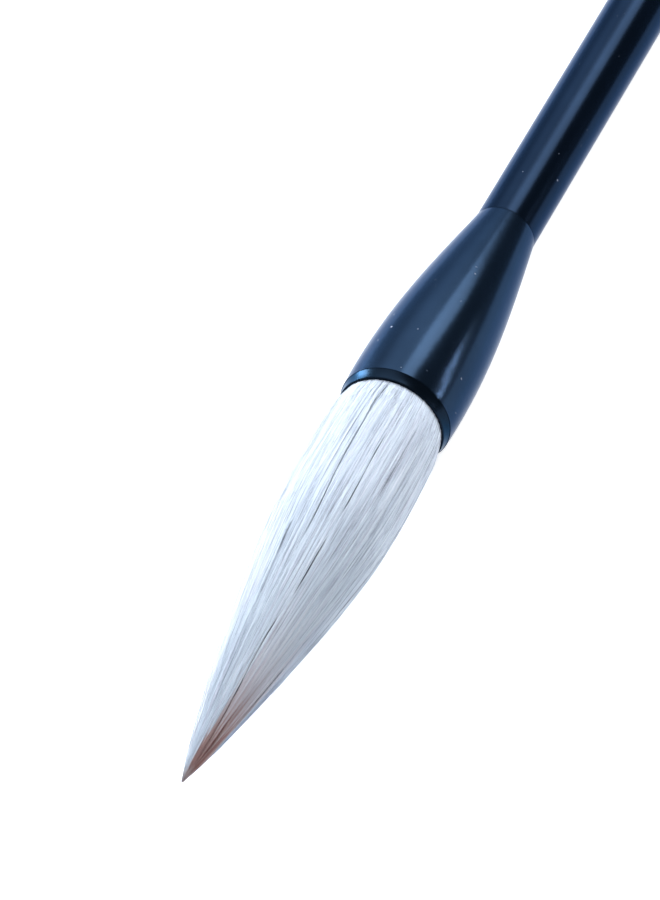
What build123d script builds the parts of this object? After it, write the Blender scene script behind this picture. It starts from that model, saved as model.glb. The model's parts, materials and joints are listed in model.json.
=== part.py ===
"""Large round calligraphy brush, lying on its side, in millimetres.

Every piece is turned about one line, the brush axis. Its outline is half a section, drawn on the
meridian plane: x there is the distance behind the ferrule's mouth, towards the tail, so that the
tuft is at negative x, and y is the radius. The axis leans by the small angle at which the
ferrule's widest ring and the tail's rim rest on the ground together.
"""

import os
from math import asin, atan2, cos, degrees, radians, sin, tan

from build123d import *

# Overall sizes
overall_length = 310.0
tuft_length = 98.3
mouth_r = 10.0
shaft_r = 6.25

# Mouth ring: a slightly hollowed band that closes the ferrule's front edge
ring_face = 0.6
ring_edge = 0.22
ring_band_length = 2.3
ring_band_rise = 0.38
ring_band_hollow = 0.05
ring_sleeve_length = 6.0
ring_bore_taper = 0.7
ring_wall = 0.85

# Ferrule: a bell that carries the tuft in front and the shaft behind
ferrule_length = 57.8
ferrule_swell = 1.25
ferrule_widest = 9.0
ferrule_lip_fall = 0.19
ferrule_lip_pull = 3.4
ferrule_neck_step = 0.05
ferrule_neck_slope = 9.0
ferrule_front_pull = 16.0
ferrule_neck_pull = 20.0
socket_depth = 23.0
seam_chamfer = 0.12

# Shaft and the joints at its two ends
tenon_r = 4.5
tenon_length = 24.0
tenon_chamfer = 0.8
tail_tenon_r = 3.4
tail_tenon_length = 9.0
glue_gap = 0.05
end_gap = 0.6

# Tail cap with a cross hole for a hanging cord
cap_length = 13.0
cap_step = 0.05
cap_dome = 3.2
cap_dome_side_pull = 1.9
cap_dome_crown_pull = 1.8
cord_hole_r = 1.5
cord_hole_round = 0.3
cord_hole_inset = 6.0

# Tuft: outer layer, core and the long central hairs, bound at the root
belly_out = 20.0
belly_swell = 1.35
mouth_hair_gap = 0.04
core_r = 7.2
centre_r = 2.4
centre_bare = 6.0
centre_waist_r = 1.6
centre_shoulder_r = 1.1
mantle_end_wall = 0.4
tuft_end_slope = 0.16
tip_r = 0.35
root_length = 20.0
root_slack = 0.4
root_flare_length = 3.6
root_rim_fall = 0.07
core_taper_start = 16.0
core_bare = 26.0
core_tail_rise = 1.8
centre_taper_start = 16.0

# Root fixing
thread_r = 0.28
thread_turns = 9
thread_start = 9.5
thread_bed = 0.95
thread_gap = 0.14
resin_gap = 0.4

# Bend of the tuft: a ball of hair turns in a cup of hair at the fullest ring
flex_angle = 25.0
flex_margin = 3.0
flex_gap = 0.3
flex_skin = 0.75

# Places along the axis, from the mouth
tip_x = -tuft_length
belly_x = -belly_out
tail_x = overall_length - tuft_length
cap_x = tail_x - cap_length
cap_rim_x = tail_x - cap_dome
mantle_end_x = tip_x + centre_bare
core_taper_x = belly_x - core_taper_start
core_end_x = tip_x + core_bare
core_fade_length = core_taper_x - core_end_x
centre_taper_x = tip_x + centre_taper_start
thread_pitch = 2 * thread_r * thread_bed
resin_x = thread_start + thread_turns * thread_pitch + resin_gap

# Radii that follow from the driving sizes
ferrule_r = mouth_r + ferrule_swell
neck_r = shaft_r + ferrule_neck_step
cap_r = shaft_r - cap_step
belly_r = mouth_r + belly_swell
ring_front_r = mouth_r + ring_face
ring_back_r = ring_front_r + ring_band_rise
ferrule_lip_r = ferrule_r - ferrule_lip_fall
ring_bore_back_r = mouth_r - ring_bore_taper
ring_sleeve_r = ring_bore_back_r + ring_wall
root_r = ring_bore_back_r - root_slack
socket_r = root_r + 2 * thread_r + thread_gap
mouth_hair_r = mouth_r - mouth_hair_gap
ball_r = belly_r - flex_skin
cup_r = ball_r + flex_gap

# Lean of the axis and the place of the mouth, so that the brush rests on z = 0 centred on the origin
lean = atan2(ferrule_r - cap_r, cap_rim_x - ferrule_widest)
axis_along = (cos(lean), 0, -sin(lean))
mouth_x = -(tip_x + tail_x) / 2 * cos(lean)
mouth_z = ferrule_widest * sin(lean) + ferrule_r * cos(lean)

meridian = Plane(origin=(mouth_x, 0, mouth_z), x_dir=axis_along, z_dir=(0, -1, 0))
brush_axis = Axis(origin=(mouth_x, 0, mouth_z), direction=axis_along)


def tuft_point(share_out, share_of_belly):
    """A point of the tuft's outside, as shares of its length and of its fullest radius."""
    return (tip_x * share_out, belly_r * share_of_belly)


def ball_turn(radius):
    """The angle from the axis at which the ball of hair reaches a radius."""
    return degrees(asin(radius / ball_r))


# The tuft's outside between its belly and the bare centre hairs
tuft_outline = [
    tuft_point(0.33, 0.976),
    tuft_point(0.45, 0.868),
    tuft_point(0.58, 0.712),
    tuft_point(0.72, 0.513),
    tuft_point(0.85, 0.312),
    (mantle_end_x, centre_waist_r + mantle_end_wall),
]

# Where the core thins out towards the tip, as a curve's four points
core_fade = [
    (core_taper_x, core_r),
    (core_taper_x - core_fade_length / 3, core_r),
    (core_end_x + core_fade_length / 3, centre_r + core_tail_rise),
    (core_end_x, centre_r),
]


# Ferrule: bell outside, stepped bore inside, solid web between the two sockets
with BuildPart() as ferrule:
    with BuildSketch(meridian):
        with BuildLine():
            lip = Line((ring_band_length, ring_sleeve_r + glue_gap), (ring_band_length, ferrule_lip_r))
            front = Bezier(
                lip @ 1,
                (ring_band_length + ferrule_lip_pull, ferrule_r),
                (ferrule_widest, ferrule_r),
            )
            neck_end = (ferrule_length - seam_chamfer, neck_r)
            neck_rise = ferrule_neck_pull * tan(radians(ferrule_neck_slope))
            bell = Bezier(
                front @ 1,
                (ferrule_widest + ferrule_front_pull, ferrule_r),
                (ferrule_length - ferrule_neck_pull, neck_r + neck_rise),
                neck_end,
            )
            tenon_floor = ferrule_length - tenon_length - end_gap
            ring_floor = ring_band_length + ring_sleeve_length + glue_gap
            Polyline(
                bell @ 1,
                (ferrule_length, neck_r - seam_chamfer),
                (ferrule_length, tenon_r + glue_gap),
                (tenon_floor, tenon_r + glue_gap),
                (tenon_floor, 0),
                (socket_depth, 0),
                (socket_depth, socket_r),
                (ring_floor, socket_r),
                (ring_floor, ring_sleeve_r + glue_gap),
                lip @ 0,
            )
        make_face()
    revolve(axis=brush_axis)
ferrule.part.label = "ferrule"

# Mouth ring: front face, turned band, and a sleeve that seats inside the ferrule
with BuildPart() as mouth_ring:
    with BuildSketch(meridian):
        with BuildLine():
            face = Line((0, mouth_r), (0, ring_front_r - ring_edge))
            edge = RadiusArc(face @ 1, (ring_edge, ring_front_r), ring_edge)
            band = SagittaArc(edge @ 1, (ring_band_length, ring_back_r), -ring_band_hollow)
            ring_end = ring_band_length + ring_sleeve_length
            Polyline(
                band @ 1,
                (ring_band_length, ring_sleeve_r),
                (ring_end, ring_sleeve_r),
                (ring_end, ring_bore_back_r),
                face @ 0,
            )
        make_face()
    revolve(axis=brush_axis)
mouth_ring.part.label = "mouth_ring"

# Shaft: a straight rod with a tenon for the ferrule and a bore for the tail cap
with BuildPart() as shaft:
    with BuildSketch(meridian):
        with BuildLine():
            tenon_x = ferrule_length - tenon_length
            bore_x = cap_x - tail_tenon_length - end_gap
            Polyline(
                (tenon_x, 0),
                (tenon_x, tenon_r - tenon_chamfer),
                (tenon_x + tenon_chamfer, tenon_r),
                (ferrule_length, tenon_r),
                (ferrule_length, shaft_r - seam_chamfer),
                (ferrule_length + seam_chamfer, shaft_r),
                (cap_x - seam_chamfer, shaft_r),
                (cap_x, shaft_r - seam_chamfer),
                (cap_x, tail_tenon_r + glue_gap),
                (bore_x, tail_tenon_r + glue_gap),
                (bore_x, 0),
                close=True,
            )
        make_face()
    revolve(axis=brush_axis)
shaft.part.label = "shaft"

# Tail cap: tenon, short cylinder and domed end, drilled across for a cord
with BuildPart() as tail_cap:
    with BuildSketch(meridian):
        with BuildLine():
            cap_tenon_x = cap_x - tail_tenon_length
            dome = Bezier(
                (cap_rim_x, cap_r),
                (cap_rim_x + cap_dome_side_pull, cap_r),
                (tail_x, cap_r - cap_dome_crown_pull),
                (tail_x, 0),
            )
            Polyline(
                dome @ 1,
                (cap_tenon_x, 0),
                (cap_tenon_x, tail_tenon_r),
                (cap_x, tail_tenon_r),
                (cap_x, cap_r - seam_chamfer),
                (cap_x + seam_chamfer, cap_r),
                dome @ 0,
            )
        make_face()
    revolve(axis=brush_axis)
    with BuildSketch(meridian):
        with Locations((cap_x + cord_hole_inset, 0)):
            Circle(cord_hole_r)
    extrude(amount=shaft_r, both=True, mode=Mode.SUBTRACT)
    hole_mouths = tail_cap.edges(Select.LAST).filter_by(lambda e: abs(e.center().Y) > cap_r / 2)
    fillet(hole_mouths, cord_hole_round)
tail_cap.part.label = "tail_cap"

# Root of the tuft: the gripped end of the hair, swelling out of the ring as far as the bend
with BuildPart() as hair_root:
    with BuildSketch(meridian):
        with BuildLine():
            rim_turn = radians(90 - flex_angle - flex_margin)
            rim_in = (belly_x + cup_r * cos(rim_turn), cup_r * sin(rim_turn))
            rim_r = belly_r - root_rim_fall
            rim_out = (belly_x + rim_r / tan(rim_turn), rim_r)
            held = Line((root_length, root_r), (ring_band_length + ring_sleeve_length, root_r))
            throat = Line(held @ 1, (0, mouth_hair_r))
            flare = Bezier(throat @ 1, (-root_flare_length, rim_r), rim_out)
            rim = Line(flare @ 1, rim_in)
            cup = CenterArc((belly_x, 0), cup_r, degrees(rim_turn), -degrees(rim_turn))
            Polyline(cup @ 1, (root_length, 0), held @ 0)
        make_face()
    revolve(axis=brush_axis)
hair_root.part.label = "hair_root"

# Thread wound round the root, each turn bedded against the next
with BuildPart() as binding_thread:
    with BuildSketch(meridian):
        for turn in range(thread_turns):
            with Locations((thread_start + turn * thread_pitch, root_r + thread_r)):
                Circle(thread_r)
    revolve(axis=brush_axis)
binding_thread.part.label = "binding_thread"

# Root resin: fills the socket's floor and the space round the root behind the thread
with BuildPart() as root_resin:
    with BuildSketch(meridian):
        with BuildLine():
            Polyline(
                (resin_x, root_r),
                (resin_x, socket_r),
                (socket_depth, socket_r),
                (socket_depth, 0),
                (root_length, 0),
                (root_length, root_r),
                close=True,
            )
        make_face()
    revolve(axis=brush_axis)
root_resin.part.label = "root_resin"

# Centre hair: the longest hairs, from the ball to the very tip
with BuildPart() as centre_hair:
    with BuildSketch(meridian):
        with BuildLine():
            top = CenterArc((belly_x, 0), ball_r, 0, ball_turn(centre_r))
            side = Line(top @ 1, (centre_taper_x, centre_r))
            waist = Line(side @ 1, (mantle_end_x, centre_waist_r))
            shoulder = (mantle_end_x - centre_bare / 2, centre_shoulder_r)
            point = Bezier(waist @ 1, shoulder, (tip_x, tip_r), (tip_x, 0))
            Line(point @ 1, top @ 0)
        make_face()
    revolve(axis=brush_axis)
centre_hair.part.label = "centre_hair"

# Core hair: the short stiff hairs that fill out the belly round the centre
with BuildPart() as core_hair:
    with BuildSketch(meridian):
        with BuildLine():
            core_span = ball_turn(core_r) - ball_turn(centre_r)
            cap_arc = CenterArc((belly_x, 0), ball_r, ball_turn(centre_r), core_span)
            Line(cap_arc @ 1, core_fade[0])
            fade = Bezier(*core_fade)
            Line(fade @ 1, cap_arc @ 0)
        make_face()
    revolve(axis=brush_axis)
core_hair.part.label = "core_hair"

# Mantle hair: the outer layer that gives the tuft its shape
with BuildPart() as mantle_hair:
    with BuildSketch(meridian):
        with BuildLine():
            shell_arc = CenterArc((belly_x, 0), ball_r, ball_turn(core_r), 90 - ball_turn(core_r))
            step = Line(shell_arc @ 1, (belly_x, belly_r))
            outside = Spline(step @ 1, *tuft_outline, tangents=[(-1, 0), (-1, -tuft_end_slope)])
            Polyline(
                outside @ 1,
                (mantle_end_x, centre_waist_r),
                (centre_taper_x, centre_r),
                core_fade[-1],
            )
            Bezier(*reversed(core_fade))
            Line(core_fade[0], shell_arc @ 0)
        make_face()
    revolve(axis=brush_axis)
mantle_hair.part.label = "mantle_hair"

handle = [shaft, tail_cap, ferrule, mouth_ring, hair_root, binding_thread, root_resin]
tuft = [mantle_hair, core_hair, centre_hair]

os.makedirs("parts", exist_ok=True)
for piece in handle + tuft:
    export_step(piece.part, f"parts/{piece.part.label}.step")

# Places that the joint and the mounts are stated at
places = {
    "bend of the tuft": belly_x,
    "cord hole": cap_x + cord_hole_inset,
    "middle of the grip": (ferrule_length + seam_chamfer + cap_rim_x) / 2,
}
for name, x in places.items():
    print(name, meridian.from_local_coords((x, 0, 0)), "on an axis along", axis_along)
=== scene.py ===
"""Calligraphy brush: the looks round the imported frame, in metres.

A place on the brush is given by how far out it is from the ferrule's mouth towards the tip, by its
radius, and by its turn round the brush axis, which is zero straight up and grows towards +Y.
"""

import json
import math

import bpy
import numpy as np
from mathutils import Matrix, Vector

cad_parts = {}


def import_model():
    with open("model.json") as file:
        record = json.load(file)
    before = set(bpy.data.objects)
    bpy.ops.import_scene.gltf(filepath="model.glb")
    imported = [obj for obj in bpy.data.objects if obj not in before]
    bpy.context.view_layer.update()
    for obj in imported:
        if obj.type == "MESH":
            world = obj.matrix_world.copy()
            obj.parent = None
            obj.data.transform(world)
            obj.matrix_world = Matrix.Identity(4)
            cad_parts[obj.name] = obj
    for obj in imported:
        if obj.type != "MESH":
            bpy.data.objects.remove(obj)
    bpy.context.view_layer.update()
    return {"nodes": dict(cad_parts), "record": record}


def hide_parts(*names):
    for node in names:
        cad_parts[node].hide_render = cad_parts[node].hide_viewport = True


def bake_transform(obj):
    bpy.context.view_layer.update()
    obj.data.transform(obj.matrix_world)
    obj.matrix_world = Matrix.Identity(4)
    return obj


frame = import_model()
MM = 0.001
WHOLE_TURN = 2 * np.pi

# ---------------------------------------------------------------- the brush's own places and sizes

mounts = {mount["name"]: mount for mount in frame["record"]["mounts"]}
AXIS = Vector(mounts["shaft_grip"]["axis"]).normalized()
ON_AXIS = Vector(mounts["shaft_grip"]["pos_m"])
SIDE = Vector((0, 1, 0))
UP = AXIS.cross(SIDE)


def round_axis(node):
    """A node's vertices, as their places along the brush axis and their radii."""
    vertices = frame["nodes"][node].data.vertices
    points = np.array([vertex.co for vertex in vertices]) - np.array(ON_AXIS)
    along = points @ np.array(AXIS)
    return along, np.linalg.norm(points - np.outer(along, AXIS), axis=1)


ring_along, ring_radius = round_axis("mouth_ring")
_, mantle_radius = round_axis("mantle_hair")
centre_along, _ = round_axis("centre_hair")
MOUTH = ON_AXIS + AXIS * ring_along.min()
MOUTH_R = ring_radius[ring_along < ring_along.min() + 0.1 * MM].min()
TUFT_LENGTH = ring_along.min() - centre_along.min()
BELLY_R = mantle_radius.max()
FERRULE_MIDDLE = MOUTH + AXIS * 30 * MM

# The tuft's outline: how far out, as a share of its length, and the radius there, as a share of the
# belly's
OUTLINE = [
    (-0.03, 0.845),
    (0.0, 0.876),
    (0.02, 0.919),
    (0.045, 0.952),
    (0.09, 0.975),
    (0.15, 0.991),
    (0.205, 0.997),
    (0.285, 0.988),
    (0.33, 0.972),
    (0.45, 0.868),
    (0.58, 0.712),
    (0.72, 0.513),
    (0.85, 0.310),
    (0.905, 0.218),
    (0.955, 0.122),
    (0.985, 0.056),
    (1.0, 0.012),
]
OUTLINE_OUT, OUTLINE_R = zip(*OUTLINE)
TIP_DRIFT = -1.15 * MM


def smooth_curve(x, xs, ys):
    """A curve through the points (xs, ys) whose slopes are those of its neighbours."""
    xs, ys = np.array(xs), np.array(ys)
    slopes = np.gradient(ys, xs)
    i = np.clip(np.searchsorted(xs, x) - 1, 0, len(xs) - 2)
    step = xs[i + 1] - xs[i]
    t = np.clip((x - xs[i]) / step, 0, 1)
    return (
        ys[i] * (1 + 2 * t) * (1 - t) ** 2
        + ys[i + 1] * (3 - 2 * t) * t**2
        + step * (slopes[i] * t * (1 - t) ** 2 - slopes[i + 1] * (1 - t) * t**2)
    )


def smooth_step(low, high, x):
    t = np.clip((x - low) / (high - low), 0, 1)
    return t * t * (3 - 2 * t)


def tuft_radius(share):
    return BELLY_R * smooth_curve(share, OUTLINE_OUT, OUTLINE_R)


def on_tuft(share, radius, turn):
    """Points at shares of the tuft's length, radii and turns; the tip drifts a little sideways."""
    share, radius, turn = np.broadcast_arrays(share, radius, turn)
    across = radius * np.sin(turn) + TIP_DRIFT * np.clip(share, 0, 1)
    return (
        np.array(MOUTH)
        - (share * TUFT_LENGTH)[..., None] * np.array(AXIS)
        + (radius * np.cos(turn))[..., None] * np.array(UP)
        + across[..., None] * np.array(SIDE)
    )


# Splits between the locks of hair. Each has its depth, its half width, and the places it runs
# through: how far out, at what turn in degrees, and how open it is there.
SPLITS = [
    (
        1.5 * MM,
        0.15 * MM,
        [
            (-0.01, 3, 0.9),
            (0.05, 3, 0.9),
            (0.10, 3, 1.0),
            (0.15, 2.5, 0.5),
            (0.21, 2, 0.9),
            (0.28, 1, 0.4),
            (0.36, -1.5, 0.8),
            (0.43, -2, 0.5),
            (0.52, -2, 0.3),
        ],
    ),
    (
        0.8 * MM,
        0.11 * MM,
        [(0.13, -21, 0.4), (0.18, -22, 0.8), (0.24, -23, 0.4), (0.32, -24, 0.9), (0.40, -25, 0.6)],
    ),
    (1.0 * MM, 0.12 * MM, [(0.41, -23, 0.6), (0.50, -24, 1.0), (0.55, -24, 0.6), (0.60, -23, 0.8)]),
    (
        0.7 * MM,
        0.11 * MM,
        [
            (0.58, -22, 0.4),
            (0.64, -20, 0.8),
            (0.71, -19, 0.6),
            (0.79, -24, 0.8),
            (0.87, -30, 0.7),
            (0.99, -42, 0.5),
        ],
    ),
    (0.9 * MM, 0.14 * MM, [(0.58, -76, 0.6), (0.68, -79, 1.0), (0.79, -81, 1.0), (0.88, -86, 0.6)]),
    (0.5 * MM, 0.11 * MM, [(0.82, -45, 0.5), (0.88, -52, 1.0), (0.96, -60, 0.6)]),
    (0.4 * MM, 0.08 * MM, [(0.40, 20, 0.7), (0.47, 18, 0.8), (0.60, 15, 0.5)]),
    (0.4 * MM, 0.08 * MM, [(0.12, -46, 0.7), (0.19, -47, 0.8), (0.24, -47, 0.5)]),
    (0.4 * MM, 0.08 * MM, [(0.33, -49, 0.7), (0.40, -49, 0.8), (0.48, -48, 0.5)]),
    (0.3 * MM, 0.07 * MM, [(0.72, -9, 0.6), (0.77, -11, 0.6), (0.82, -13, 0.4)]),
    (0.8 * MM, 0.12 * MM, [(0.05, 96, 0.9), (0.20, 98, 0.6), (0.45, 93, 0.8)]),
    (0.8 * MM, 0.12 * MM, [(0.20, 160, 0.7), (0.40, 163, 1.0), (0.60, 158, 0.6)]),
    (0.7 * MM, 0.10 * MM, [(0.08, -120, 0.8), (0.30, -124, 0.6), (0.42, -122, 0.9)]),
]


def split_distance(path, share, turn):
    """How far a place is to the side of a split, in metres round the tuft, and how open that is."""
    out, turns, opening = (np.array(column) for column in zip(*path))
    middle = np.interp(share, out, np.radians(turns))
    away = (turn - middle + np.pi) % WHOLE_TURN - np.pi
    fade = 0.2 * (out[-1] - out[0])
    start = smooth_step(out[0], out[0] + fade * 0.5, share)
    end = 1 - smooth_step(out[-1] - fade, out[-1], share)
    return away * tuft_radius(share), start * end * np.interp(share, out, opening)


# ---------------------------------------------------------------- mesh helpers


def new_piece(name, points, faces, uvs=None):
    """A mesh object from arrays.

    faces is a list of index arrays, each of faces with one number of corners. uvs gives every
    vertex's pair for each named UV map.
    """
    mesh = bpy.data.meshes.new(name)
    mesh.vertices.add(len(points))
    mesh.vertices.foreach_set("co", np.asarray(points, np.float32).ravel())
    loops = np.concatenate([np.asarray(face).ravel() for face in faces])
    sizes = np.concatenate([np.full(len(face), np.asarray(face).shape[1]) for face in faces])
    starts = np.concatenate([[0], np.cumsum(sizes)[:-1]])
    mesh.loops.add(len(loops))
    mesh.loops.foreach_set("vertex_index", loops.astype(np.int32))
    mesh.polygons.add(len(sizes))
    mesh.polygons.foreach_set("loop_start", starts.astype(np.int32))
    mesh.polygons.foreach_set("loop_total", sizes.astype(np.int32))
    for uv_name, pairs in (uvs or {}).items():
        layer = mesh.uv_layers.new(name=uv_name)
        layer.data.foreach_set("uv", np.asarray(pairs, np.float32)[loops].ravel())
    mesh.polygons.foreach_set("use_smooth", np.ones(len(sizes), bool))
    mesh.update(calc_edges=True)
    mesh.validate()
    piece = bpy.data.objects.new(name, mesh)
    bpy.context.scene.collection.objects.link(piece)
    return piece


# ---------------------------------------------------------------- node helpers


class Nodes:
    """Short names for building a node tree."""

    def __init__(self, tree):
        self.tree = tree

    def add(self, kind, inputs=None, **settings):
        node = self.tree.nodes.new(kind)
        for name, value in settings.items():
            setattr(node, name, value)
        for name, value in (inputs or {}).items():
            self.feed(node.inputs[name], value)
        return node

    def feed(self, socket, value):
        if isinstance(value, bpy.types.NodeSocket):
            self.tree.links.new(value, socket)
        else:
            socket.default_value = value

    def math(self, operation, a, b=0.0):
        return self.add("ShaderNodeMath", {0: a, 1: b}, operation=operation).outputs[0]

    def between(self, factor, a, b):
        """The value that is a share, factor, of the way from a to b."""
        node = self.add("ShaderNodeMix", {"Factor": factor, "A": a, "B": b}, data_type="FLOAT")
        return node.outputs["Result"]

    def facing(self, turn, middle):
        """The cosine of the angle between turn, a share of a whole one, and middle, in degrees."""
        angle = self.math("MULTIPLY", turn, WHOLE_TURN)
        return self.math("COSINE", self.math("SUBTRACT", angle, math.radians(middle)))

    def scaled(self, vector, scale):
        node = self.add("ShaderNodeVectorMath", {0: vector, 1: scale}, operation="MULTIPLY")
        return node.outputs[0]

    def dot(self, vector, other):
        node = self.add("ShaderNodeVectorMath", {0: vector, 1: other}, operation="DOT_PRODUCT")
        return node.outputs["Value"]

    def separate(self, vector):
        return self.add("ShaderNodeSeparateXYZ", {0: vector}).outputs

    def combine(self, x, y=0.0):
        return self.add("ShaderNodeCombineXYZ", {0: x, 1: y}).outputs[0]

    def object_place(self):
        return self.add("ShaderNodeTexCoord").outputs["Object"]

    def noise(self, vector, scale=1.0, detail=2.0):
        sockets = {"Vector": vector, "Scale": scale, "Detail": detail}
        return self.add("ShaderNodeTexNoise", sockets).outputs["Fac"]

    def steps(self, value, low, high):
        """A smooth rise from 0 at low to 1 at high."""
        sockets = {0: value, 1: low, 2: high}
        node = self.add("ShaderNodeMapRange", sockets, interpolation_type="SMOOTHSTEP")
        return node.outputs[0]

    def ramp(self, value, stops):
        node = self.add("ShaderNodeValToRGB", {0: value})
        elements = node.color_ramp.elements
        while len(elements) < len(stops):
            elements.new(0.5)
        for element, (place, colour) in zip(elements, stops):
            element.position = place
            element.color = (*colour, 1)
        return node.outputs[0]

    def mix(self, factor, a, b, blend="MIX"):
        node = self.add("ShaderNodeMix", data_type="RGBA", blend_type=blend)
        self.feed(node.inputs["Factor"], factor)
        for socket, value in ((node.inputs[6], a), (node.inputs[7], b)):
            self.feed(socket, value if isinstance(value, bpy.types.NodeSocket) else (*value, 1))
        return node.outputs[2]


def new_material(name, **sockets):
    """A material, its node helper and its Principled shader, whose plain values are in sockets."""
    material = bpy.data.materials.new(name)
    material.use_nodes = True
    nodes = Nodes(material.node_tree)
    shader = material.node_tree.nodes["Principled BSDF"]
    for socket, value in sockets.items():
        shader.inputs[socket.replace("_", " ")].default_value = value
    return material, nodes, shader


# ---------------------------------------------------------------- materials

# Black lacquer whose gloss is blue at every angle, which takes the shader's metal side. Its base is
# the reflection seen square on, and the tint holds the blue towards the edges.
GLOSS_EDGE = (0.50, 0.56, 0.70, 1)
RING_EDGE = (0.48, 0.58, 0.74, 1)
DUST_COLOUR = (0.34, 0.37, 0.45)
LINES_SCALE, MOTTLE_SCALE, HAZE_SCALE = 5200.0, 420.0, 90.0
DUST_SCALE, DUST_WHERE_SCALE, DUST_SIZE, DUST_HEIGHT = 620.0, 900.0, 0.16, 0.03 * MM


def turned_black(name, gloss_colour, roughness, line_depth, dust_share, edge):
    """Black turned horn or lacquer: faint lines round the axis, mottled gloss, a little dust."""
    material, nodes, shader = new_material(
        name, Metallic=0.93, Specular_IOR_Level=0.2, Specular_Tint=edge
    )
    place = nodes.object_place()
    lines = nodes.noise(nodes.combine(nodes.dot(place, AXIS)), scale=LINES_SCALE, detail=3.0)
    mottle = nodes.noise(place, scale=MOTTLE_SCALE, detail=4.0)
    haze = nodes.noise(place, scale=HAZE_SCALE, detail=3.0)
    cells = nodes.add("ShaderNodeTexVoronoi", {"Vector": place, "Scale": DUST_SCALE})
    dust = cells.outputs["Distance"]
    dust_where = nodes.noise(place, scale=DUST_WHERE_SCALE, detail=0.0)
    speck = nodes.math(
        "MULTIPLY",
        nodes.math("LESS_THAN", dust, DUST_SIZE),
        nodes.math("GREATER_THAN", dust_where, 1 - dust_share),
    )
    dark = tuple(channel * 0.86 for channel in gloss_colour)
    body = nodes.mix(nodes.steps(haze, 0.3, 0.7), dark, gloss_colour)
    dusty = nodes.mix(nodes.math("MULTIPLY", speck, 0.45), body, DUST_COLOUR)
    nodes.feed(shader.inputs["Base Color"], dusty)
    gloss = nodes.math("ADD", roughness - 0.02, nodes.math("MULTIPLY", mottle, 0.04))
    gloss = nodes.math("ADD", gloss, nodes.math("MULTIPLY", speck, 0.35))
    nodes.feed(shader.inputs["Roughness"], gloss)
    height = nodes.math(
        "ADD", nodes.math("MULTIPLY", lines, line_depth), nodes.math("MULTIPLY", speck, DUST_HEIGHT)
    )
    bump = nodes.add("ShaderNodeBump", {"Height": height, "Distance": 1.0, "Strength": 1.0})
    nodes.feed(shader.inputs["Normal"], bump.outputs[0])
    return material


# The hair's colours by its tone and painted shade: the darkest stops are painted shade in the
# splits and between the locks, the lighter ones the hairs' own tones up to white
HAIR_RAMP = [
    (0.10, (0.05, 0.055, 0.07)),
    (0.32, (0.28, 0.31, 0.38)),
    (0.41, (0.50, 0.55, 0.64)),
    (0.50, (0.70, 0.77, 0.87)),
    (0.66, (0.86, 0.92, 0.98)),
]
# The shaded side's colours by the place out: mauve-grey, then brown close to the point, partly the
# hair's own colour and partly painted shade
SHADE_AND_BROWN_RAMP = [
    (0.68, (0.66, 0.63, 0.67)),
    (0.79, (0.50, 0.43, 0.46)),
    (0.89, (0.42, 0.25, 0.22)),
    (0.98, (0.26, 0.09, 0.07)),
]
PINK_TINT = (1.0, 0.91, 0.94)
FAR_TINT = (0.87, 0.88, 0.88)
LEFT_SHADE_TINT = (0.84, 0.86, 0.88)
RIGHT_SHADE_TINT = (0.70, 0.72, 0.80)
END_COLOUR = (0.58, 0.49, 0.49)
# Turns, in degrees, of the middles of the side with the mauve-grey and brown, partly painted shade,
# and of the two sides with painted shade
SHADED_TURN, LEFT_TURN, RIGHT_TURN = -54.0, 75.0, -112.0
# How fine the hair's noises are: round the tuft, and along it
FINE_GRAIN = (900.0, 9.0, 1.0)
CLUMP_GRAIN = (290.0, 7.0, 1.0)
WIDE_CLUMP_GRAIN = (70.0, 5.0, 1.0)
PINK_GRAIN = (120.0, 3.0, 1.0)
STREAK_GRAIN = (90.0, 2.0, 1.0)


def hair_tone_and_shade(nodes, around, share, own, streaked, to_point):
    """How light a hair is, from 0 to 1: its own tone, its clump's, and painted shade for how deep
    it lies.
    """
    identity, depth = own[0], own[1]
    # Clumps are about as wide everywhere, so there are fewer of them round the thin end
    clump = nodes.noise(nodes.scaled(around, CLUMP_GRAIN))
    wide_clump = nodes.noise(nodes.scaled(around, WIDE_CLUMP_GRAIN))
    clump = nodes.between(to_point, clump, wide_clump)
    if streaked:
        fine = nodes.noise(nodes.scaled(around, FINE_GRAIN))
    else:
        sockets = {"W": nodes.math("MULTIPLY", identity, 977.0)}
        whole = nodes.add("ShaderNodeTexWhiteNoise", sockets, noise_dimensions="1D").outputs[0]
        place = nodes.combine(
            nodes.math("MULTIPLY", identity, 5000.0), nodes.math("MULTIPLY", share, 9.0)
        )
        fine = nodes.between(0.5, whole, nodes.noise(place))
    # Painted shade: hairs lying low between the clumps, and in the splits, come out darker
    painted_depth_shade = nodes.math("MULTIPLY", nodes.math("SUBTRACT", depth, 0.5), 0.14)
    return nodes.math("ADD", nodes.between(0.5, fine, clump), painted_depth_shade)


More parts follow.
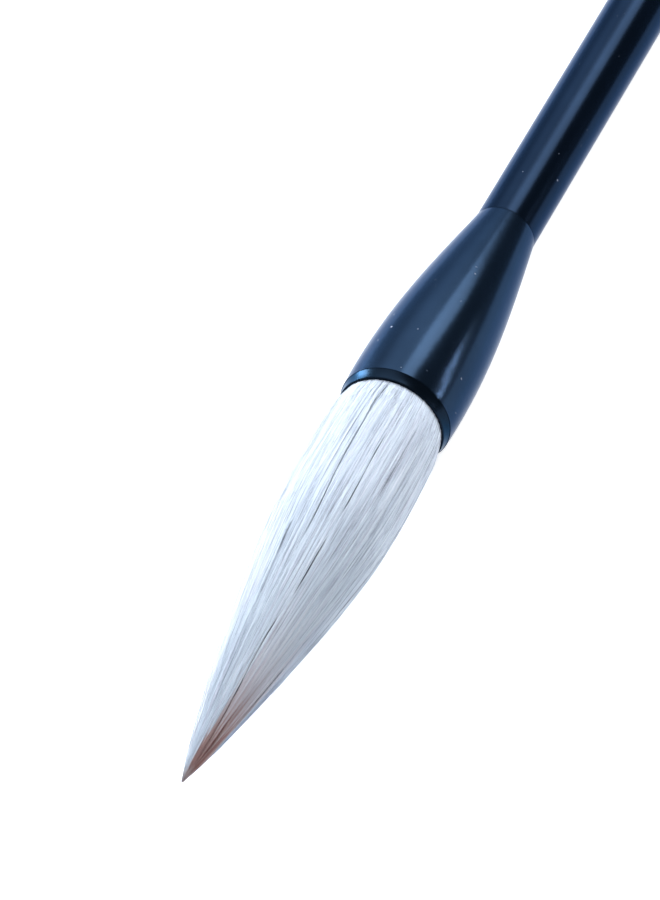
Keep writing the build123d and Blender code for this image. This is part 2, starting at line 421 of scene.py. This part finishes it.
def goat_hair(name, streaked):
    """White goat hair whose point is mauve-grey and brown on one side, partly its own colour and
    partly painted shade.

    streaked is true where one surface stands for many hairs.
    """
    material, nodes, shader = new_material(
        name, Roughness=0.42, Specular_IOR_Level=0.35, Sheen_Weight=0.2, Sheen_Roughness=0.4
    )
    around = nodes.add("ShaderNodeUVMap", uv_map="Round").outputs[0]
    turn, share, _ = nodes.separate(around)
    own = nodes.separate(nodes.add("ShaderNodeUVMap", uv_map="Strand").outputs[0])
    to_point = nodes.steps(share, 0.45, 0.85)
    shade = hair_tone_and_shade(nodes, around, share, own, streaked, to_point)
    white = nodes.ramp(shade, HAIR_RAMP)
    # Some hairs are a little pink, more of them towards the point
    pink = nodes.noise(nodes.scaled(around, PINK_GRAIN), detail=1.0)
    pink = nodes.math("MULTIPLY", nodes.steps(pink, 0.50, 0.66), nodes.between(to_point, 0.35, 0.9))
    white = nodes.mix(pink, white, PINK_TINT, blend="MULTIPLY")
    white = nodes.mix(nodes.steps(share, 0.20, 0.60), white, FAR_TINT, blend="MULTIPLY")
    # Painted shade: the long thin end is a little darker on its sides
    for side_turn, low, high, tint in (
        (LEFT_TURN, 0.2, 0.9, LEFT_SHADE_TINT),
        (RIGHT_TURN, 0.72, 0.92, RIGHT_SHADE_TINT),
    ):
        side = nodes.steps(nodes.facing(turn, side_turn), low, high)
        white = nodes.mix(nodes.math("MULTIPLY", side, to_point), white, tint, blend="MULTIPLY")
    # Mauve-grey streaks on the side that the light leaves, brown close to the point: partly the
    # hair's own colour, partly painted shade
    streak = nodes.noise(nodes.scaled(around, STREAK_GRAIN))
    loose = nodes.math("SUBTRACT", streak, 0.5)
    spread = nodes.math(
        "ADD",
        nodes.math("MULTIPLY", loose, 0.45),
        nodes.math("MULTIPLY", nodes.steps(share, 0.84, 1.0), 0.30),
    )
    shaded_side = nodes.steps(nodes.math("ADD", nodes.facing(turn, SHADED_TURN), spread), 0.80, 0.93)
    loose_share = nodes.math("ADD", share, nodes.math("MULTIPLY", loose, 0.30))
    shade_out = nodes.steps(loose_share, 0.52, 0.90)
    shade_and_brown = nodes.math("MULTIPLY", shaded_side, nodes.math("MULTIPLY", shade_out, 0.92))
    uneven = nodes.math("MULTIPLY", nodes.math("SUBTRACT", shade, 0.5), 0.5)
    shade_and_brown_colour = nodes.ramp(nodes.math("SUBTRACT", share, uneven), SHADE_AND_BROWN_RAMP)
    coloured = nodes.mix(shade_and_brown, white, shade_and_brown_colour)
    end = nodes.steps(nodes.math("ADD", share, nodes.math("MULTIPLY", loose, 0.04)), 0.965, 0.995)
    coloured = nodes.mix(nodes.math("MULTIPLY", end, 0.75), coloured, END_COLOUR)
    nodes.feed(shader.inputs["Base Color"], coloured)
    return material


def plain_fibre(name, colour, scale):
    """Thread or hidden hair: fine grain in two tones."""
    material, nodes, shader = new_material(name, Roughness=0.75, Sheen_Weight=0.2)
    place = nodes.object_place()
    grain = nodes.noise(nodes.scaled(place, (0.15, 1.0, 1.0)), scale=scale, detail=3.0)
    dark = tuple(channel * 0.7 for channel in colour)
    nodes.feed(shader.inputs["Base Color"], nodes.mix(grain, dark, colour))
    return material


def resin():
    """Dark cloudy rosin."""
    material, nodes, shader = new_material("rosin", Roughness=0.3, Specular_IOR_Level=0.5)
    place = nodes.object_place()
    cloud = nodes.noise(place, scale=700.0, detail=4.0)
    colour = nodes.ramp(cloud, [(0.3, (0.12, 0.05, 0.02)), (0.7, (0.34, 0.17, 0.06))])
    nodes.feed(shader.inputs["Base Color"], colour)
    return material


def dress(node, material):
    mesh = frame["nodes"][node].data
    mesh.materials.clear()
    mesh.materials.append(material)


# ---------------------------------------------------------------- the tuft

rng = np.random.default_rng(20)


def hair_field(rows, columns):
    """Smooth noise from -1 to 1 that runs along the hair, as a function of share and turn.

    It closes on itself round the tuft.
    """
    grid = rng.uniform(-1, 1, (rows, columns))

    def value(share, turn):
        out = np.clip(share, 0, 1) * (rows - 1)
        low = np.clip(out.astype(int), 0, rows - 2)
        t = smooth_step(0, 1, out - low)
        at = (turn / WHOLE_TURN % 1.0) * columns
        left = np.floor(at).astype(int)
        s = smooth_step(0, 1, at - left)
        left, right = left % columns, (left + 1) % columns
        near = grid[low, left] * (1 - s) + grid[low, right] * s
        far = grid[low + 1, left] * (1 - s) + grid[low + 1, right] * s
        return near * (1 - t) + far * t

    return value


LOCKS = hair_field(5, 70)
CLUMPS = hair_field(10, 190)
CLUMP_HEIGHT = 0.11 * MM


def relief(share, turn):
    """How far the clumps of hair stand above the outline, in metres, and the same from 0 to 1."""
    height = 0.35 * LOCKS(share, turn) + 0.65 * CLUMPS(share, turn)
    fade = smooth_step(-0.01, 0.04, share) * np.sqrt(tuft_radius(share) / BELLY_R)
    return CLUMP_HEIGHT * height * fade, 0.5 + 0.5 * height


def vertex_pairs(*values):
    """Two or more arrays made one shape, and the first two as a list of pairs for a UV map."""
    return np.stack(np.broadcast_arrays(*values)[:2], axis=-1).reshape(-1, 2)


def hair_mass():
    """The body of the tuft: a closed skin from inside the mouth to the point, locked and split."""
    out_points, turn_points, mouth_points = 170, 560, 10
    below_hairs, thinnest, end_out = 0.12 * MM, 0.04 * MM, 1.002
    near_mouth = np.linspace(-0.025, 0.02, mouth_points)[:-1]
    beyond = np.linspace(0.02, 1.0, out_points - mouth_points + 1)
    share = np.concatenate([near_mouth, beyond])[:, None]
    turn = np.linspace(0, WHOLE_TURN, turn_points, endpoint=False)[None, :]
    height, depth = relief(share, turn)
    surface = tuft_radius(share) - below_hairs + height
    for split_depth, half, path in SPLITS:
        away, open_here = split_distance(path, share, turn)
        gap = np.exp(-((away / (1.5 * half)) ** 4)) * open_here
        surface = surface - split_depth * gap
        # Painted shade: the splits lower the hair's shade value, so their gaps are coloured dark
        depth = depth - 2.2 * gap
    surface = np.maximum(surface, thinnest)
    points = on_tuft(share, surface, turn).reshape(-1, 3)
    ends = on_tuft(np.array([share[0, 0], end_out]), np.zeros(2), np.zeros(2))
    points = np.vstack([points, ends])
    index = np.arange(out_points * turn_points).reshape(out_points, turn_points)
    after = np.roll(index, -1, axis=1)
    quads = np.stack([index[:-1], after[:-1], after[1:], index[1:]], axis=-1).reshape(-1, 4)
    back = np.stack([after[0], index[0], np.full(turn_points, len(points) - 2)], axis=-1)
    point = np.stack([index[-1], after[-1], np.full(turn_points, len(points) - 1)], axis=-1)
    part_turn = turn / WHOLE_TURN
    rounds = np.vstack([vertex_pairs(part_turn, share), [[0.5, share[0, 0]], [0.5, 1.0]]])
    strand = np.vstack([vertex_pairs(part_turn, depth), [[0.5, 0.5], [0.5, 0.5]]])
    return new_piece("tuft_mass", points, [quads, back, point], {"Round": rounds, "Strand": strand})


def strand_tubes(name, share, radius, turn, thickness):
    """Hairs as thin three-sided tubes.

    Every array has a row for each hair and a column for each point along it.
    """
    hairs, steps = share.shape
    middle = on_tuft(share, radius, turn)
    outward = np.cos(turn)[..., None] * np.array(UP) + np.sin(turn)[..., None] * np.array(SIDE)
    along = np.gradient(middle, axis=1)
    along /= np.linalg.norm(along, axis=2, keepdims=True)
    sideways = np.cross(along, outward)
    sideways /= np.linalg.norm(sideways, axis=2, keepdims=True)
    outward = np.cross(sideways, along)
    rings = [
        middle + thickness[..., None] * (np.sin(corner) * outward + np.cos(corner) * sideways)
        for corner in np.radians([90.0, 210.0, 330.0])
    ]
    points = np.stack(rings, axis=2).reshape(-1, 3)
    index = np.arange(hairs * steps * 3).reshape(hairs, steps, 3)
    after = np.roll(index, -1, axis=2)
    quads = np.stack([index[:, :-1], index[:, 1:], after[:, 1:], after[:, :-1]], axis=-1)
    roots = index[:, 0, :]
    tips = index[:, -1, ::-1]
    corner_shape = np.zeros((1, 1, 3))
    identity = np.linspace(0, 1, hairs, endpoint=False)[:, None, None]
    # Painted shade: the Strand map's second value, the clump's height from 0 to 1, makes low hairs
    # darker in the hair material
    strand = vertex_pairs(identity, relief(share, turn)[1][..., None], corner_shape)
    rounds = vertex_pairs((turn / WHOLE_TURN)[..., None], share[..., None], corner_shape)
    # For baking, every hair has its own cell of a square grid
    columns = math.ceil(math.sqrt(hairs))
    row, column = np.divmod(np.arange(hairs), columns)
    bake_u = (column[:, None, None] + 0.15 + 0.35 * np.arange(3)[None, None, :]) / columns
    bake_v = (row[:, None, None] + 0.1 + 0.8 * np.linspace(0, 1, steps)[None, :, None]) / columns
    maps = {"OFBake": vertex_pairs(bake_u, bake_v), "Round": rounds, "Strand": strand}
    return new_piece(name, points, [quads.reshape(-1, 4), roots, tips], maps)


def along_hair(start, end, steps):
    """Each hair's steps from 0 to 1, and how far out on the tuft those are."""
    t = np.linspace(0, 1, steps)[None, :]
    return t, start + (end - start) * t


def any_turn(hairs):
    return rng.uniform(-np.pi, np.pi, (hairs, 1))


def keep_clear(share, turn, margin):
    """Turns pushed out of the splits, each hair to its own side, apart from a few that cross."""
    obeying_share, furthest_push, least_open = 0.98, 1.2 * MM, 0.02
    obeys = rng.random((len(share), 1)) < obeying_share
    for _, half, path in SPLITS:
        away, open_here = split_distance(path, share, turn)
        own_side = np.where((away * open_here).sum(axis=1, keepdims=True) < 0, -1.0, 1.0)
        reach = (half * 1.4 + margin) * open_here
        near = (np.abs(away) < furthest_push) & (open_here > least_open)
        inside = (away * own_side < reach) & near & obeys
        push = np.where(inside, own_side * reach - away, 0.0)
        turn = turn + push / np.maximum(tuft_radius(share), 0.5 * MM)
    return turn


def wander(hairs, steps, size):
    """A small smooth random wave along each hair."""
    t = np.linspace(0, 1, steps)[None, :]
    total = np.zeros((hairs, steps))
    for wave in (1, 2):
        phase = rng.uniform(0, WHOLE_TURN, (hairs, 1))
        total += rng.normal(0, 1, (hairs, 1)) / wave * np.sin(np.pi * wave * t + phase)
    return size * total


def mantle_strands(name, hairs, steps):
    """Hairs in the tuft's surface, from the mouth or part of the way along to their own ends."""
    from_mouth_share, inside_out = 0.55, -0.012
    picks = rng.random((hairs, 1))
    start = np.where(picks < from_mouth_share, inside_out, rng.uniform(0.02, 0.62, (hairs, 1)))
    length = rng.uniform(0.35, 1.0, (hairs, 1))
    end = np.minimum(start + length, rng.uniform(0.86, 0.99, (hairs, 1)))
    end = np.maximum(end, start + 0.2)
    t, share = along_hair(start, end, steps)
    surface = tuft_radius(share)
    turn = any_turn(hairs) + np.zeros((1, steps))
    turn = turn + wander(hairs, steps, 0.11 * MM) / np.maximum(surface, 2 * MM)
    turn = keep_clear(share, turn, 0.04 * MM)
    lift = rng.normal(0.0, 0.045, (hairs, 1)) * MM + wander(hairs, steps, 0.03 * MM)
    # The ends sink into the mass, apart from the roots in the mouth
    from_mouth = start < 0.02
    sink = np.where(from_mouth, 0.0, 1 - smooth_step(0, 0.12, t)) + smooth_step(0.88, 1.0, t)
    lift = lift - 0.2 * MM * sink + relief(share, turn)[0]
    radius = np.maximum(surface + lift, 0.05 * MM)
    mouth_gap, mouth_share = 0.12 * MM, 0.012
    inside_mouth = MOUTH_R - mouth_gap + 0.5 * np.maximum(share, 0) * TUFT_LENGTH
    radius = np.where(share < mouth_share, np.minimum(radius, inside_mouth), radius)
    thinning = 1 - 0.5 * smooth_step(0.4, 1.0, share)
    thickness = rng.uniform(0.035, 0.07, (hairs, 1)) * MM * thinning
    return strand_tubes(name, share, radius, turn, thickness)


def point_strands(name, hairs, steps):
    """The longest hairs, which run together into the point."""
    start = rng.uniform(0.62, 0.86, (hairs, 1))
    end = 1.006 - 0.04 * rng.random((hairs, 1)) ** 2
    t, share = along_hair(start, end, steps)
    surface = tuft_radius(share)
    turn = any_turn(hairs) + wander(hairs, steps, 0.08 * MM) / np.maximum(surface, 0.8 * MM)
    turn = keep_clear(share, turn, 0.02 * MM)
    lift = rng.normal(0.0, 0.03, (hairs, 1)) * MM - 0.2 * MM * (1 - smooth_step(0, 0.2, t))
    radius = np.maximum(surface + lift, 0.02 * MM)
    thickness = rng.uniform(0.035, 0.075, (hairs, 1)) * MM * (1 - 0.6 * t)
    return strand_tubes(name, share, radius, turn, thickness)


def stray_hairs(name, hairs, steps):
    """A few hairs that stand off the surface a little."""
    start = rng.uniform(0.03, 0.7, (hairs, 1))
    end = np.minimum(start + rng.uniform(0.12, 0.35, (hairs, 1)), 0.97)
    t, share = along_hair(start, end, steps)
    surface = tuft_radius(share)
    turn = any_turn(hairs) + rng.normal(0, 0.5, (hairs, 1)) * MM * t / np.maximum(surface, 1 * MM)
    lift = rng.uniform(0.1, 0.45, (hairs, 1)) * MM * t**2 - 0.1 * MM * (1 - t)
    thickness = 0.035 * MM * (1 - 0.6 * t) * np.ones((hairs, 1))
    return strand_tubes(name, share, surface + lift, turn, thickness)


mass_hair = goat_hair("goat_hair_mass", streaked=True)
strand_hair = goat_hair("goat_hair_strands", streaked=False)

tuft = hair_mass()
tuft.data.materials.append(mass_hair)
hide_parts("mantle_hair", "hair_root", "core_hair")

# In five pieces, so that none has too many triangles
strands = [
    mantle_strands(f"mantle_strands_{part}", hairs=2600, steps=13) for part in (1, 2, 3, 4, 5)
]
points = point_strands("point_strands", hairs=900, steps=12)
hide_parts("centre_hair")
strays = stray_hairs("stray_hairs", hairs=90, steps=10)
for piece in strands + [points, strays]:
    piece.data.materials.append(strand_hair)

# Each piece's transform is applied to its mesh
for piece in [tuft, points, strays] + strands:
    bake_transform(piece)

# ---------------------------------------------------------------- the CAD nodes' finishes

# Node, material, colour of the gloss, roughness, depth of the lines, share of dust, edge tint
BLACKS = [
    ("ferrule", "ferrule_black", (0.012, 0.023, 0.042), 0.20, 0.0022 * MM, 0.27, GLOSS_EDGE),
    ("mouth_ring", "ring_black", (0.006, 0.011, 0.019), 0.24, 0.0015 * MM, 0.20, RING_EDGE),
    ("shaft", "shaft_lacquer", (0.006, 0.012, 0.024), 0.20, 0.0016 * MM, 0.25, GLOSS_EDGE),
    ("tail_cap", "cap_black", (0.008, 0.016, 0.030), 0.20, 0.0018 * MM, 0.25, GLOSS_EDGE),
]
for node, *finish in BLACKS:
    dress(node, turned_black(*finish))

# Node, material, colour, scale of the grain
FIBRES = [
    ("hair_root", "root_hair", (0.80, 0.78, 0.72), 3000.0),
    ("core_hair", "core_hair", (0.74, 0.72, 0.68), 3000.0),
    ("centre_hair", "centre_hair", (0.45, 0.29, 0.22), 3000.0),
    ("mantle_hair", "mantle_hair", (0.84, 0.86, 0.90), 3000.0),
    ("binding_thread", "hemp_thread", (0.62, 0.54, 0.38), 6000.0),
]
for node, *finish in FIBRES:
    dress(node, plain_fibre(*finish))
dress("root_resin", resin())

# ---------------------------------------------------------------- floor, light and camera


def floor():
    """A plain pale sheet under the brush, wide enough for a view from any side."""
    reach, drop = 12.0, 0.1 * MM
    corners = [(-reach, -reach), (reach, -reach), (reach, reach), (-reach, reach)]
    points = [(x, y, -drop) for x, y in corners]
    sheet = new_piece("floor", points, [np.array([[0, 1, 2, 3]])])
    material, nodes, shader = new_material(
        "pale_floor", Roughness=0.9, Specular_IOR_Level=0.1, Emission_Color=(1, 1, 1, 1)
    )
    place = nodes.object_place()
    grain = nodes.noise(place, scale=900.0, detail=3.0)
    colour = nodes.mix(grain, (0.86, 0.87, 0.89), (0.89, 0.90, 0.92))
    nodes.feed(shader.inputs["Base Color"], colour)
    # A light table, brighter on the left
    left = nodes.separate(place)[1]
    glow = nodes.between(nodes.steps(left, -0.01, 0.12), 0.70, 1.4)
    nodes.feed(shader.inputs["Emission Strength"], glow)
    sheet.data.materials.append(material)


def towards(azimuth, elevation):
    """The direction at an azimuth (0 is +X and 90 is +Y) and an elevation, in degrees."""
    a, e = math.radians(azimuth), math.radians(elevation)
    return Vector((math.cos(e) * math.cos(a), math.cos(e) * math.sin(a), math.sin(e)))


def softbox(name, place, size, radiance, colour=(1, 1, 1), distance=1.2, roll=0.0, lights="both"):
    """A soft rectangular light.

    place is its azimuth and elevation from the ferrule, and size is how wide and high it looks from
    there, all in degrees. It lights the gloss, the matt surfaces or both.
    """
    width, height = (2 * distance * math.tan(math.radians(angle / 2)) for angle in size)
    data = bpy.data.lights.new(name, "AREA")
    data.shape = "RECTANGLE"
    data.size, data.size_y = width, height
    data.energy = 4 * radiance * width * height
    data.color = colour
    light = bpy.data.objects.new(name, data)
    away = towards(*place)
    light.location = FERRULE_MIDDLE + away * distance
    turn = away.to_track_quat("Z", "Y").to_matrix() @ Matrix.Rotation(math.radians(roll), 3, "Z")
    light.rotation_euler = turn.to_euler()
    light.visible_camera = False
    light.visible_diffuse = lights != "gloss"
    light.visible_glossy = lights != "matt"
    bpy.context.scene.collection.objects.link(light)


def world():
    """Soft light from all round: bright to the left and back (+Y, +X), with a glow by the key."""
    sky = bpy.data.worlds.new("studio")
    sky.use_nodes = True
    nodes = Nodes(sky.node_tree)
    direction = nodes.add("ShaderNodeTexCoord").outputs["Generated"]
    back, left, _ = nodes.separate(direction)
    near = nodes.dot(direction, towards(22.0, 44.0))
    glow = nodes.steps(near, math.cos(math.radians(31.0)), math.cos(math.radians(5.0)))
    more_at_back = nodes.between(nodes.steps(back, -0.7, 0.1), 0.6, 1.25)
    bright_left = nodes.math("MULTIPLY", nodes.steps(left, -0.15, 0.35), more_at_back)
    strength = nodes.math("ADD", 0.32, bright_left)
    strength = nodes.math("ADD", strength, nodes.math("MULTIPLY", glow, 1.9))
    background = sky.node_tree.nodes["Background"]
    background.inputs["Color"].default_value = (0.80, 0.90, 1.0, 1)
    nodes.feed(background.inputs["Strength"], strength)
    bpy.context.scene.world = sky


def camera():
    """The view down on the brush from in front of its tip."""
    azimuth, elevation = math.radians(22.496), math.radians(44.523)
    depth, right_of_centre, above_centre = 1.06297, 0.01116, 0.00513
    level = math.cos(elevation)
    forward = Vector((level * math.cos(azimuth), level * math.sin(azimuth), -math.sin(elevation)))
    right = Vector((math.sin(azimuth), -math.cos(azimuth), 0))
    up = right.cross(forward)
    data = bpy.data.cameras.new("camera")
    data.sensor_fit = "VERTICAL"
    data.sensor_height = 36.0
    data.lens = 230.08
    data.clip_start, data.clip_end = 0.05, 20.0
    view = bpy.data.objects.new("camera", data)
    place = MOUTH - forward * depth - right * right_of_centre - up * above_centre
    turn = Matrix((right, up, -forward)).transposed()
    view.matrix_world = Matrix.Translation(place) @ turn.to_4x4()
    bpy.context.scene.collection.objects.link(view)
    bpy.context.scene.camera = view


floor()
world()
camera()
softbox("key", (-5.0, 43.0), (18.0, 30.0), 5.0, roll=-10.0)
softbox("left_window", (66.0, 8.0), (18.0, 20.0), 32.0, lights="gloss")
softbox(
    "right_strip",
    (-51.0, 14.5),
    (18.0, 0.6),
    90.0,
    colour=(1.0, 0.94, 0.96),
    distance=0.3,
    roll=32.0,
    lights="gloss",
)
softbox("back_fill", (0.0, 28.0), (30.0, 26.0), 3.0, lights="matt")
softbox("left_fill", (55.0, 42.0), (36.0, 36.0), 1.1, lights="matt")
softbox("right_fill", (-75.0, 60.0), (36.0, 36.0), 1.8, lights="matt")
bpy.context.scene.view_settings.view_transform = "Standard"
